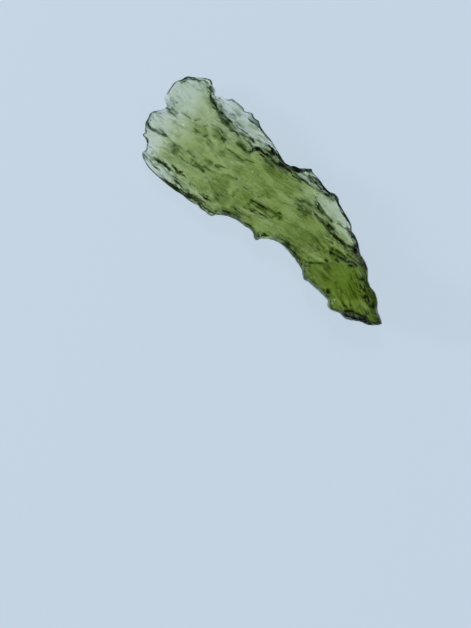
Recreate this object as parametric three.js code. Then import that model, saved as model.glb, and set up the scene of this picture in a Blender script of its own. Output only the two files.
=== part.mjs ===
// Raw moldavite: a thin, flow-streaked splinter of natural green glass.
//
// Millimetres. The stone lies on its flatter side: +X runs from the broad, thin end to the thick, pointed
// tip, +Y is towards the edge with the two flanges, and +Z is up. The origin is under the middle of its box.
//
// The body is one closed shell. Two edge curves, from the notch in the broad end to the tip, give its plan,
// and a middle line runs between them. Each point of the plan between the middle line and an edge is carried
// to an upper and a lower height, and the two skins meet in a rounded rim at the edge.
import * as THREE from 'three';
import { ParametricGeometry } from 'three/addons/geometries/ParametricGeometry.js';
import { mergeGeometries, mergeVertices } from 'three/addons/utils/BufferGeometryUtils.js';

// ---------------------------------------------------------------- driving dimensions
const LENGTH = 40; // broad end to tip
const TIP_THICKNESS = 5.1; // the block behind the tip, the thickest place
const FLANGE_THICKNESS = 0.65; // the thin flange along the broad half
const SHELF_THICKNESS = 1.3; // the steps beside the body's crest
const RIM_RADIUS = 0.5; // how far in from the edge the rounding reaches
const TIP_BEVEL = 1.1; // the same at the tip, where the edges are broken off at a slant
const TIP_BEVEL_START = 11; // x where the edge begins to turn into that slant
const TIP_BEVEL_RUN = 3; // how much further along it has turned
const STEP_WIDTH = 0.9; // plan width of the slope down to a flange or a shelf
const RIM_SHARE = 0.45; // height of the edge, as a share of the thickness
const UNDERSIDE_SHARE = 0.4; // how much of a flange's thinning is taken from below

const CELLS_ALONG = 92;
const CELLS_TO_EDGE = 12; // from the middle line to either edge
const RIM_CROWDING = 1.8; // above 1, the cells are finer near the rim
const MERGE_WITHIN = 1e-4; // points closer than this are one
const EDGE_DIVISIONS = 1000; // how finely an edge's length is measured

// The body's thickness along the stone, [x, thickness].
const BODY_THICKNESS = [
  [-20, 0.8], [-17.5, 1], [-15, 1.6], [-12.5, 2.1], [-8, 2.5], [-3, 2.8], [3, 2.8], [8, 3.1], [13, 3.4],
  [20, 2.6],
];

// Height of the underside along the middle line before it is worn flat where it touches, [x, height].
const UNDERSIDE = [
  [-20, 1.15], [-16, 0.5], [-12, 0], [-8, -0.16], [-4, 0.05], [0, 0.28], [5, 0.3], [8, 0.1],
  [11.5, -0.16], [14.5, -0.14], [17, 0.35], [20.1, 1.3],
];
const UNDERSIDE_BOW = 0.02; // extra height per square millimetre of distance from the middle line

// ---------------------------------------------------------------- plan
// The edges from the notch to the tip, with a point wherever the broken edge turns.
const FLANGED_EDGE = [
  [-18.4, -0.35], [-19.35, 0.1], [-19.75, 1.5], [-19.87, 2.3], [-19.5, 3.2], [-19.2, 4.1], [-18.2, 4.9],
  [-17.2, 5.7], [-16.8, 5.87], [-16.1, 5.5], [-15.5, 5.4], [-15, 4.85], [-14.5, 5.3], [-13.5, 5.65],
  [-13.2, 6.05], [-12, 6.2], [-11, 6.1], [-10.4, 6.45], [-10, 6.57], [-9.4, 6.35], [-8.9, 6.47],
  [-7.8, 6.05], [-6, 5.85], [-4.4, 5.45], [-2.9, 5.15], [-2, 5.35], [-1.7, 5.65], [-1, 5.9],
  [-0.1, 6.7], [0.1, 6.88], [0.5, 6.7], [1.7, 6.65], [3.3, 6.4], [4.3, 6.7], [4.7, 6.72], [5.5, 6.35],
  [6.5, 6.05], [8.5, 5.5], [9.2, 5.05], [10.8, 4.5], [11.6, 3.95], [13.5, 3.25], [14, 3], [14.9, 2.1],
  [15.7, 1.65], [16.7, 1.5], [17.5, 1.05], [18.6, 0.1], [19.3, -0.2], [20.1, -0.7],
];
const WAVY_EDGE = [
  [-18.4, -0.35], [-18.45, -0.8], [-19.2, -2.1], [-19.25, -2.5], [-18.8, -3.8], [-18.1, -4.55],
  [-18, -5.1], [-17.1, -5.3], [-16.5, -5.95], [-16.45, -6.6], [-16.2, -6.95], [-15.3, -7.3],
  [-14, -7.5], [-12, -7.4], [-10, -7.15], [-8.2, -6.9], [-6.8, -6.55], [-4.75, -6.3], [-4.5, -6.1],
  [-4.35, -5.75], [-3.4, -5], [-3, -4.75], [-2, -4.35], [-0.8, -4.2], [0, -4], [0.4, -4.03], [1, -4.4],
  [1.5, -4.5], [1.7, -4.2], [2.4, -3.3], [3.2, -2.8], [4.5, -2.5], [6.5, -2.65], [7.7, -2.85],
  [8.6, -3.3], [9.2, -3.65], [10.8, -3.45], [13.3, -3.5], [13.8, -4], [14.2, -4.05], [15.4, -3.5],
  [16.3, -3.5], [17.5, -2.8], [19, -2], [19.7, -1.4], [20.1, -0.7],
];
// The middle line, and the x it has reached at each share of the way along the edges.
const MIDDLE_LINE = [[-20, -0.5], [-8, -0.4], [3, 1.2], [12, 0.2], [16, -0.42], [20, -0.5]];
const MIDDLE_PACE = [
  [0, -16.4], [0.1, -15.7], [0.2, -13.8], [0.3, -10.4], [0.6, 3.6], [0.9, 15.4], [1, 17.4],
];

// ---------------------------------------------------------------- steps in the thickness
// Each step follows a line that runs with the flow of the glass. On its side of the line, +1 towards the
// flanged edge or -1 towards the wavy edge, the stone thins to the thickness given.
const STEPS = [
  {
    side: 1,
    thickness: FLANGE_THICKNESS,
    line: [
      [-17, 6.2], [-15.2, 4.4], [-13.4, 3.9], [-12, 3.4], [-11, 3.3], [-9, 3.85], [-7, 4.15],
      [-4.7, 4.6], [-1.5, 5.3],
    ],
  },
  {
    side: 1,
    thickness: SHELF_THICKNESS * 0.7,
    line: [[-1.5, 5.6], [0, 5], [1.5, 5.3], [3.5, 5.65], [5.2, 6], [7, 6.4]],
  },
  {
    side: 1,
    thickness: SHELF_THICKNESS * 1.3,
    line: [[0, 3.4], [1.9, 2.9], [3.3, 3.6], [5.2, 3.85], [7, 4.35], [9, 4.95], [10, 5.4]],
  },
  {
    side: 1,
    thickness: SHELF_THICKNESS * 1.15,
    line: [[6, 4.4], [8.2, 3.2], [10, 3.05], [11.4, 3.3], [13, 3.9]],
  },
  {
    side: -1,
    thickness: SHELF_THICKNESS * 0.8,
    line: [[-16.5, -5.4], [-12, -5.8], [-9, -6.1], [-5, -6], [-3.5, -6.6]],
  },
  {
    side: -1,
    thickness: FLANGE_THICKNESS,
    line: [[-19.5, -3.6], [-18, -3.8], [-16.5, -3.6], [-15.3, -4.4], [-14.6, -7.6]],
  },
];

// The thick block behind the tip: it rises from a slanted facet, [y, x], and ends below a ledge, [x, y].
const BLOCK_FACET = [[-4, 7.2], [-1.9, 8.2], [-0.2, 9.7], [1.5, 9.6], [4, 10.5]];
const BLOCK_RISE = 3.4; // plan width of the slope up to it
const BLOCK_LEAD = 0.3; // share of that slope that lies before the facet's line
const BLOCK_LEDGE_WIDTH = 1.2;
const BLOCK_LEDGE = [[8, 1.3], [9, 1.6], [11.2, 2], [13, 2.5], [14.2, 3.4], [20, 6]];
const BLOCK_TAPER = [[8, 0.8], [12, 0.95], [15, 1], [17.5, 0.85], [20, 0.2]];

// Shallow ridges left by the flow: [height, spacing, slope of their run, phase].
const FLOW_RIDGES = [[0.09, 2.7, 0.22, 0.4], [0.05, 1.3, 0.15, 2.1]];
const RIDGE_FADE = 2; // how far in from the edge they reach their full height
const RIDGE_SWAY = 0.6; // how far they swing to and fro, as a change of phase
const RIDGE_SWAY_PACE = 0.5; // how quickly that comes and goes along the stone
const RIDGES_BELOW = 0.5; // their share of depth on the underside

// ---------------------------------------------------------------- helpers
const mix = (a, b, t) => a + (b - a) * t;
const clamp = (t) => Math.min(Math.max(t, 0), 1);
const ease = (t) => clamp(t) ** 2 * (3 - 2 * clamp(t));

// Reads a list of [place, value] pairs at any place, straight from each pair to the next or by another blend.
function along(pairs, place, blend = clamp) {
  if (place <= pairs[0][0]) return pairs[0][1];
  for (let i = 1; i < pairs.length; i += 1) {
    const [from, before] = pairs[i - 1];
    const [to, after] = pairs[i];
    if (place < to) return mix(before, after, blend((place - from) / (to - from)));
  }
  return pairs[pairs.length - 1][1];
}

function edgeCurve(points) {
  const curve = new THREE.CatmullRomCurve3(points.map(([x, y]) => new THREE.Vector3(x, y, 0)));
  curve.arcLengthDivisions = EDGE_DIVISIONS;
  return curve;
}

// ---------------------------------------------------------------- surfaces
function thickness(x, y) {
  const facet = ease((x - along(BLOCK_FACET, y)) / BLOCK_RISE + BLOCK_LEAD);
  const ledge = ease((y - along(BLOCK_LEDGE, x)) / BLOCK_LEDGE_WIDTH);
  const body = along(BODY_THICKNESS, x, ease);
  const crest = mix(body, TIP_THICKNESS * along(BLOCK_TAPER, x, ease), facet * (1 - ledge));
  return STEPS.reduce((thick, { side, thickness: thin, line }) => {
    const [start] = line[0];
    const [end] = line[line.length - 1];
    const beside = ease((side * (y - along(line, x))) / STEP_WIDTH + 0.5);
    const within = ease((x - start) / STEP_WIDTH + 0.5) * ease((end - x) / STEP_WIDTH + 0.5);
    return mix(thick, Math.min(thick, thin), beside * within);
  }, crest);
}

function flowRidges(x, y) {
  const sway = RIDGE_SWAY * Math.sin(RIDGE_SWAY_PACE * x);
  return FLOW_RIDGES.reduce(
    (sum, [height, spacing, slope, phase]) =>
      sum + height * Math.sin((2 * Math.PI * (y - slope * x)) / spacing + phase + sway),
    0,
  );
}

// Heights of the upper skin and the underside at a place in plan, inset from the edge.
function heights(x, y, inset) {
  const thick = thickness(x, y);
  const thinned = Math.max(along(BODY_THICKNESS, x, ease) - thick, 0);
  const offLine = y - along(MIDDLE_LINE, x);
  const ridges = flowRidges(x, y) * ease(inset / RIDGE_FADE);
  const bowed = along(UNDERSIDE, x, ease) + UNDERSIDE_BOW * offLine * offLine + UNDERSIDE_SHARE * thinned;
  const underside = Math.max(bowed - RIDGES_BELOW * ridges, 0);
  const crest = underside + thick + ridges;
  const rim = underside + RIM_SHARE * thick;
  const reach = mix(RIM_RADIUS, TIP_BEVEL, ease((x - TIP_BEVEL_START) / TIP_BEVEL_RUN));
  const rounding = Math.sqrt(1 - (1 - clamp(inset / reach)) ** 2);
  return { upper: mix(rim, crest, rounding), lower: mix(rim, underside, rounding) };
}

// ---------------------------------------------------------------- shell
const flangedCurve = edgeCurve(FLANGED_EDGE);
const wavyCurve = edgeCurve(WAVY_EDGE);

// The whole edge as one closed run of short straights.
const edgeLoop = [
  ...wavyCurve.getSpacedPoints(CELLS_ALONG),
  ...flangedCurve.getSpacedPoints(CELLS_ALONG).slice(1, -1).reverse(),
];

function distanceToEdge(point) {
  const straight = new THREE.Line3();
  const nearest = new THREE.Vector3();
  return edgeLoop.reduce((best, start, i) => {
    straight.set(start, edgeLoop[(i + 1) % edgeLoop.length]);
    return Math.min(best, straight.closestPointToPoint(point, true, nearest).distanceTo(point));
  }, Infinity);
}

// The plan point at a share of the way from notch to tip. Across runs from -1, on the wavy edge, over 0, on
// the middle line, to 1, on the flanged edge.
function planPoint(share, across) {
  const x = along(MIDDLE_PACE, share);
  const middle = new THREE.Vector3(x, along(MIDDLE_LINE, x), 0);
  const edge = (across < 0 ? wavyCurve : flangedCurve).getPointAt(share);
  return middle.lerp(edge, 1 - (1 - Math.abs(across)) ** RIM_CROWDING);
}

// One skin of the stone. The lower one has its facets turned over, so that they face down.
function skin(side) {
  const place = (share, v, target) => {
    target.copy(planPoint(share, 2 * v - 1));
    target.z = heights(target.x, target.y, distanceToEdge(target))[side];
  };
  const geometry = new ParametricGeometry(place, CELLS_ALONG, 2 * CELLS_TO_EDGE);
  if (side === 'lower') geometry.index.array.reverse();
  geometry.deleteAttribute('normal');
  geometry.deleteAttribute('uv');
  return geometry;
}

// The closed shell, with its plan brought to the driving length and its origin under the middle of its box.
function stoneGeometry() {
  const geometry = mergeVertices(mergeGeometries([skin('upper'), skin('lower')]), MERGE_WITHIN);
  geometry.computeBoundingBox();
  const { min, max } = geometry.boundingBox;
  const scale = LENGTH / (max.x - min.x);
  geometry.translate(-(min.x + max.x) / 2, -(min.y + max.y) / 2, -min.z);
  geometry.scale(scale, scale, 1);
  geometry.computeVertexNormals();
  return geometry;
}

// ---------------------------------------------------------------- the part
const moldaviteGlass = new THREE.MeshStandardMaterial({ color: 0x7f9a56, roughness: 0.2, metalness: 0 });

const moldavite = new THREE.Mesh(stoneGeometry(), moldaviteGlass);
moldavite.name = 'moldavite';

const group = new THREE.Group();
group.add(moldavite);

export default group;
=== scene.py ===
import math

import bpy
import numpy as np
from bpy.props import FloatProperty, FloatVectorProperty, PointerProperty
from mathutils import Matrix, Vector


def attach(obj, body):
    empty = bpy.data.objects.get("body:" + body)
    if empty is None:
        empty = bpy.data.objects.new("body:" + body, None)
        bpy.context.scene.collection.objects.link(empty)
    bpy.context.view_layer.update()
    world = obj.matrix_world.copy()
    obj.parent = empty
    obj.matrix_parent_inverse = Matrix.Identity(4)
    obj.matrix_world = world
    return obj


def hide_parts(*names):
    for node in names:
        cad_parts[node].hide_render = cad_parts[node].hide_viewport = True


bl_info = {
    "name": "Raw Moldavite",
    "version": (1, 0, 0),
    "blender": (4, 5, 0),
    "location": "3D View > Sidebar > Moldavite",
    "description": "A thin, flow-streaked splinter of natural green glass lying on a pale floor",
    "category": "Object",
}

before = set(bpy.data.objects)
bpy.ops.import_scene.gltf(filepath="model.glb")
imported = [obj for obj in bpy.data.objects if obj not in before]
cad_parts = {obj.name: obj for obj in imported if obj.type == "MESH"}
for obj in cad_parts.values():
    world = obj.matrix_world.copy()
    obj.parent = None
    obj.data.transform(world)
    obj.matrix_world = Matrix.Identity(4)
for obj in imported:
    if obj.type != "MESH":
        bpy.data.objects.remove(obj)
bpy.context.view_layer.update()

MM = 0.001

# ------------------------------------------------------------------ the shape, in millimetres
# x runs from the broad, thin end to the tip, y towards the flanged edge, z up, and the frame's origin lies
# under the point ORIGIN. A growth starts at its first number and is whole once the second is added to it.
ORIGIN = (0.115, -0.31)

# The edges of the plan, from the notch in the broad end to the tip, with a point wherever they turn.
FLANGED_EDGE = [
    (-18.4, -0.35), (-18.9, -0.1), (-19.35, 0.1), (-19.6, 0.9), (-19.75, 1.5), (-19.87, 2.3), (-19.75, 2.8),
    (-19.5, 3.2), (-19.2, 4.1), (-18.7, 4.5), (-18.2, 4.9), (-17.7, 5.35), (-17.2, 5.7), (-16.8, 5.87),
    (-16.4, 5.75), (-16.1, 5.5), (-15.5, 5.4), (-15, 4.85), (-14.5, 5.3), (-14, 5.5), (-13.5, 5.65),
    (-13.2, 6.05), (-12.6, 6.15), (-11.4, 6.25), (-11, 6.1), (-10.4, 6.45), (-10, 6.57), (-9.7, 6.4),
    (-9.4, 6.35), (-8.9, 6.47), (-8.2, 6.15), (-7.2, 5.95), (-6, 5.85), (-5, 5.6), (-3.9, 5.35),
    (-2.9, 5.15), (-2, 5.35), (-1.7, 5.65), (-1, 5.9), (-0.7, 6.2), (-0.1, 6.7), (0.1, 6.88), (0.5, 6.7),
    (1.7, 6.65), (2.8, 6.45), (3.8, 6.45), (4.3, 6.7), (4.7, 6.72), (5.2, 6.6), (5.5, 6.35), (6.5, 6.05),
    (8.5, 5.5), (9.2, 5.05), (10, 4.83), (10.8, 4.5), (11.6, 3.95), (12, 3.75), (13, 3.5), (14, 3),
    (14.4, 2.6), (14.9, 2.1), (15.3, 1.85), (15.7, 1.65), (16.7, 1.5), (17.1, 1.3), (17.5, 1.05),
    (17.9, 0.75), (18.2, 0.4), (18.6, 0.1), (19.3, -0.2), (19.8, -0.45), (20.1, -0.7),
]
WAVY_EDGE = [
    (-18.4, -0.35), (-18.45, -0.8), (-18.7, -1.3), (-19.2, -2.1), (-19.25, -2.5), (-19.05, -3),
    (-18.8, -3.8), (-18.5, -4.1), (-18.25, -4.45), (-18.05, -4.6), (-18, -5.1), (-17.5, -5.15),
    (-17.1, -5.3), (-16.75, -5.6), (-16.5, -5.95), (-16.4, -6.3), (-16.45, -6.6), (-16.2, -6.95),
    (-15.8, -7.15), (-15.3, -7.3), (-14.8, -7.45), (-14, -7.5), (-12, -7.4), (-10, -7.15), (-9.5, -7),
    (-8.2, -6.9), (-7.5, -6.75), (-6.8, -6.55), (-6, -6.5), (-4.75, -6.3), (-4.5, -6.1), (-4.35, -5.75),
    (-4, -5.5), (-3.4, -5), (-3, -4.75), (-2, -4.35), (-0.8, -4.2), (0, -4), (0.4, -4.03), (0.8, -4.2),
    (1, -4.4), (1.5, -4.5), (1.7, -4.2), (1.8, -3.9), (2.1, -3.6), (2.4, -3.3), (2.8, -3), (3.2, -2.8),
    (4, -2.55), (4.5, -2.5), (6.5, -2.65), (7.2, -2.8), (7.7, -2.85), (8.2, -3), (8.6, -3.3), (9.2, -3.65),
    (9.7, -3.55), (10.8, -3.45), (13.3, -3.5), (13.5, -3.8), (13.8, -4), (14.2, -4.05), (14.6, -3.95),
    (15, -3.7), (15.4, -3.5), (15.8, -3.55), (16.3, -3.5), (16.8, -3.3), (17.5, -2.8), (18.2, -2.4),
    (19, -2), (19.4, -1.7), (19.7, -1.4), (20, -1), (20.1, -0.7),
]
MIDDLE_LINE = [(-20, -0.5), (-8, -0.4), (3, 1.2), (12, 0.2), (16, -0.42), (20, -0.5)]
# The x that the middle line has reached at each share of the way along the edges.
MIDDLE_PACE = [(0, -16.4), (0.1, -15.7), (0.2, -13.8), (0.3, -10.4), (0.6, 3.6), (0.9, 15.4), (1, 17.4)]

# Thickness of the body along the stone, and height of its underside along the middle line.
BODY_THICKNESS = [
    (-20, 0.55), (-17.5, 0.65), (-16.2, 0.85), (-15, 1.35), (-12.5, 2.2), (-8, 2.5), (-3, 2.8), (3, 2.8),
    (8, 3.1), (13, 3.4), (20, 2.6),
]
UNDERSIDE = [
    (-20, 1.15), (-16, 0.5), (-12, 0), (-8, -0.16), (-4, 0.05), (0, 0.28), (5, 0.3), (8, 0.1),
    (11.5, -0.16), (14.5, -0.14), (16, 0.2), (20.1, 1.9),
]
# Both are evened out this far to either side. The underside also rises by the bow times the squared
# distance from the middle line, and by a share of what the steps take away.
EVENED, UNDERSIDE_BOW, UNDERSIDE_SHARE = 1, 0.02, 0.5
# A slow swell, less within its reach of the edge, lifts each skin by its share.
SWELL_REACH, UNDERSIDE_SWELL, CREST_SWELL = 1.5, 0.6, 0.8

# The height of the edge between the skins, as a share of the thickness, for each thickness.
RIM_SHARE = [(0, 0.45), (1.5, 0.55), (5, 0.6)]
# The share of the way from that edge to each skin that is a steep wall, and how far in the bevel above it
# reaches and how round it is, for each thickness.
WALL_SHARE = [(0, 0), (1, 0.1), (2.8, 0.45), (5, 0.55)]
WALL_WIDTH = 0.2
BEVEL_REACH = [(0, 0.5), (0.5, 0.8), (1, 0.9), (2.8, 1.2), (5, 2.6)]
BEVEL_POWER = [(0, 1.1), (2, 1.5)]
# Grooves in the walls: depth, reach inwards, growth with thickness and the share of y in their run, and the
# layers of noise that draw them: height, length, width up the wall, slant, seed.
WALL_GROOVE, WALL_REACH, WALL_GROWTH, WALL_RUN = 0.3, 0.6, (0.6, 1.6), 0.6
WALL_RIBS = [(1, 2.2, 0.65, 0.15, 71), (0.6, 0.8, 0.4, 0.1, 72)]

# Steps in the thickness, towards the side given, +1 the flanged or -1 the wavy edge: side, thickness that
# it thins to, width of the slope, length over which the step grows in from both ends, points of its line.
STEPS = [
    (1, 1.6, 0.9, 2, (-18, -0.6), (-16.4, 0.3), (-14.6, 0.8), (-14.3, 1.3), (-13, 1.5), (-12.4, 1.8),
        (-9.6, 1.8), (-9, 2.3), (-8.5, 2.5), (-7.6, 2.7), (-7, 2.9)),
    (1, 1.6, 2.4, 1.5, (-9, 2), (-8.2, 2.6), (-7, 3), (-6.4, 3.4), (-5.5, 4), (-4, 4.5)),
    (1, 0.42, 1.5, 1, (-17, 6.2), (-16.1, 5.1), (-15.2, 4.4), (-14, 4.15), (-13.4, 3.9), (-12.3, 3.5),
        (-11, 3.35), (-9.8, 3.5), (-9, 3.85), (-7.1, 4.15), (-5.5, 4.4)),
    (1, 0.6, 1.7, 1.5, (-7.5, 4.1), (-5.7, 4.4), (-4.7, 4.65), (-3.5, 4.6), (-1.5, 5.3)),
    (1, 0.8, 0.3, 2, (-3, 5.5), (-1, 4.85), (0, 4.95), (1, 5.1), (1.5, 5.25), (2.3, 5.42), (3.1, 5.62),
        (5.2, 6), (7, 6.4)),
    (1, 1.6, 2.2, 4, (-1.5, 4.3), (1.2, 3.6), (2.5, 3.3), (4.2, 3.2), (6.6, 3.3), (9, 4), (13, 4.9)),
    (1, 0.95, 0.22, 1, (2.4, 4.7), (3.6, 4.35), (4.2, 4.3), (4.8, 4.15), (5.3, 4), (6, 4), (6.7, 4.05),
        (7.2, 4.4), (8, 4.4), (8.4, 4.5), (8.8, 5), (9.8, 5.3)),
    (1, 2, 1.6, 2.5, (5.5, 2.4), (7, 2.3), (9, 2.1), (11, 2.5), (13, 3.6)),
    (1, 1.4, 1.1, 3, (4, 5), (5.5, 4.4), (7, 3.6), (8.2, 3.2), (10, 3.2), (11.4, 3.7), (13.5, 4.6)),
    (-1, 1, 3, 3, (-16.5, -5.3), (-14, -5.8), (-12, -5.5), (-10.5, -6), (-9, -6), (-5, -6), (-3.5, -6.6)),
    (-1, 0.45, 1.9, 1.5, (-16.5, -6.4), (-15, -6.3), (-13, -6.2), (-11.5, -6.3), (-10.2, -6.5),
        (-8.8, -7.3)),
    (-1, 0.42, 2.6, 3, (-21, -3.6), (-18, -3.8), (-16.5, -3.7), (-15.3, -5), (-14.2, -7), (-12, -8.4)),
]
# The thick block behind the tip rises from a slanted facet, (y, x), with a share of the rise before it,
# ends below a ledge, (x, y), and tapers, (x, share of its thickness).
BLOCK_THICKNESS, BLOCK_RISE, BLOCK_LEAD, LEDGE_WIDTH = 4.9, 3.4, 0.3, 2.6
BLOCK_FACET = [(-4, 7.2), (-1.9, 8.2), (-0.2, 9.7), (1, 9.8), (2, 10.6), (3, 11.8), (4, 12.8)]
BLOCK_LEDGE = [(8, 1.3), (9, 1.3), (11, 1.1), (12.5, 1), (14, 1.6), (16, 3.2), (20, 6)]
BLOCK_TAPER = [(8, 0.8), (12, 0.95), (14.5, 1), (16, 0.98), (20.1, 0.45)]

# A line that the flow of the glass follows. Every other flow line is this one moved in y.
FLOW_LINE = [
    (-20, -1.6), (-14, -1.1), (-8, -0.2), (-2, 1.1), (4, 2.4), (9, 3.2), (13, 3.2), (16, 2.6), (20, 1),
]

# ------------------------------------------------------------------ relief and light lost, mostly painted shade
# Light lost is painted into the base colour as a power: where it is 1, the tint of the glass is left, and
# where it is 2, the tint squared. Everywhere a little less than none is lost. At the rim more is lost,
# partly the broken rim's own darkness and partly painted shade, and painted shade is added on steep skin
# and on the bevels round the tip.
PLAIN_LOSS, EDGE_LOSS = -0.02, 0.62
SLOPE_LOSS, SLOPE_GROWTH = 0.15, (0.15, 0.5)
TIP_LOSS, TIP_GROWTH, TIP_REACH = 0.2, (13.8, 2.5), 0.7
# The tint turns from that of thin glass to that of deep glass with the thickness, and towards the tip.
DEEP_GROWTH, DEEP_TIP = (0.6, 3.4), (14.5, 2.5)

# How dark the rim is along each edge, partly the broken rim's own darkness and partly painted shade, and
# how far
# in that reaches: (x, light lost, width).
FLANGED_RIM = [
    (-20, 0.9, 0.13), (-18.9, 0.6, 0.12), (-18.1, 0.6, 0.12), (-17.2, 1.1, 0.12), (-16.5, 0.4, 0.12),
    (-15.2, 0.3, 0.1), (-13.9, 0.1, 0.1), (-13.3, 2, 0.15), (-12.4, 2.7, 0.16), (-12, 1.5, 0.13),
    (-10.4, 1.1, 0.12), (-9.8, 2.6, 0.2), (-8.3, 3, 0.2), (-7.5, 2.2, 0.16), (-6.5, 2.8, 0.16),
    (-5.4, 1.3, 0.12), (-4.6, 0.3, 0.12), (-4, 1.4, 0.18), (-2.5, 1.8, 0.35), (-0.5, 1.9, 0.4),
    (0.3, 1.7, 0.3), (1.2, 0.7, 0.2), (1.8, 0.5, 0.18), (2.6, 1.2, 0.18), (4, 1.6, 0.22), (4.7, 1.9, 0.24),
    (5.5, 1.3, 0.2), (6.5, 0.3, 0.2), (7.5, 0.2, 0.15), (8.5, 0.8, 0.18), (9.2, 0.2, 0.12), (11, 0.1, 0.12),
    (12, 0.3, 0.12), (13, 0.8, 0.12), (14, 0.9, 0.15), (15, 0.6, 0.15), (17, 0.6, 0.2), (18.2, 0.1, 0.12),
    (18.9, 0.7, 0.15), (20.2, 0.5, 0.12),
]
WAVY_RIM = [
    (-20, 2.4, 0.2), (-19, 2.4, 0.2), (-18.6, 1.1, 0.12), (-18.3, 0.3, 0.12), (-17.9, 0.1, 0.12),
    (-17, 0.9, 0.13), (-16.4, 0.7, 0.13), (-15.8, 1.9, 0.16), (-15, 1.2, 0.14), (-14, 0.6, 0.12),
    (-13, 0.1, 0.1), (-11, 0.1, 0.1), (-10.3, 0.6, 0.15), (-9.5, 1.8, 0.22), (-8.6, 1.6, 0.2),
    (-8, 0.3, 0.12), (-7, 0.6, 0.12), (-6, 1.4, 0.14), (-4.7, 1.4, 0.12), (-4.3, 0.1, 0.1),
    (-3.8, 0.8, 0.16), (-2.7, 1.4, 0.2), (-1.8, 2, 0.26), (-0.8, 2.1, 0.28), (0.2, 2.6, 0.3),
    (1.1, 1.2, 0.16), (1.8, 0.1, 0.1), (3.2, 0.6, 0.1), (4, 1.5, 0.28), (4.6, 1.5, 0.28), (5.3, 1.1, 0.26),
    (7, 1.2, 0.24), (8.2, 1, 0.15), (9, 0.8, 0.12), (11, 0.9, 0.12), (13.2, 0.8, 0.12), (13.8, 0.3, 0.2),
    (14.7, 0, 0.2), (15.5, 1.4, 0.3), (16.6, 1.8, 0.35), (17.5, 1.3, 0.4), (18.5, 0.3, 0.1),
    (19.2, 0.9, 0.15), (20.2, 0.5, 0.12),
]
# Stretches of rim that stay clear: place, reach. Those of the first kind thin to CLEAR_THICKNESS too.
CLEAR_THICKNESS = 0.25
THIN_RIM = [
    ((-19.9, 1.7), 0.7), ((-18.9, 0), 0.8), ((-18.9, -1.3), 0.5), ((-18.1, -4.8), 0.6),
    ((-16.4, -6.4), 0.4),
]
CLEAR_RIM = [
    ((-16.5, 5.9), 0.35), ((-14, 5.5), 0.4), ((-12.4, -7.4), 0.8), ((-11.2, -7.3), 0.7), ((-4.6, 5.6), 0.4),
    ((1.8, 6.7), 0.6), ((7, 6), 0.7), ((9.4, 5), 0.5), ((10.4, 4.75), 0.8), ((11.3, 4.2), 0.6),
]
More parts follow.
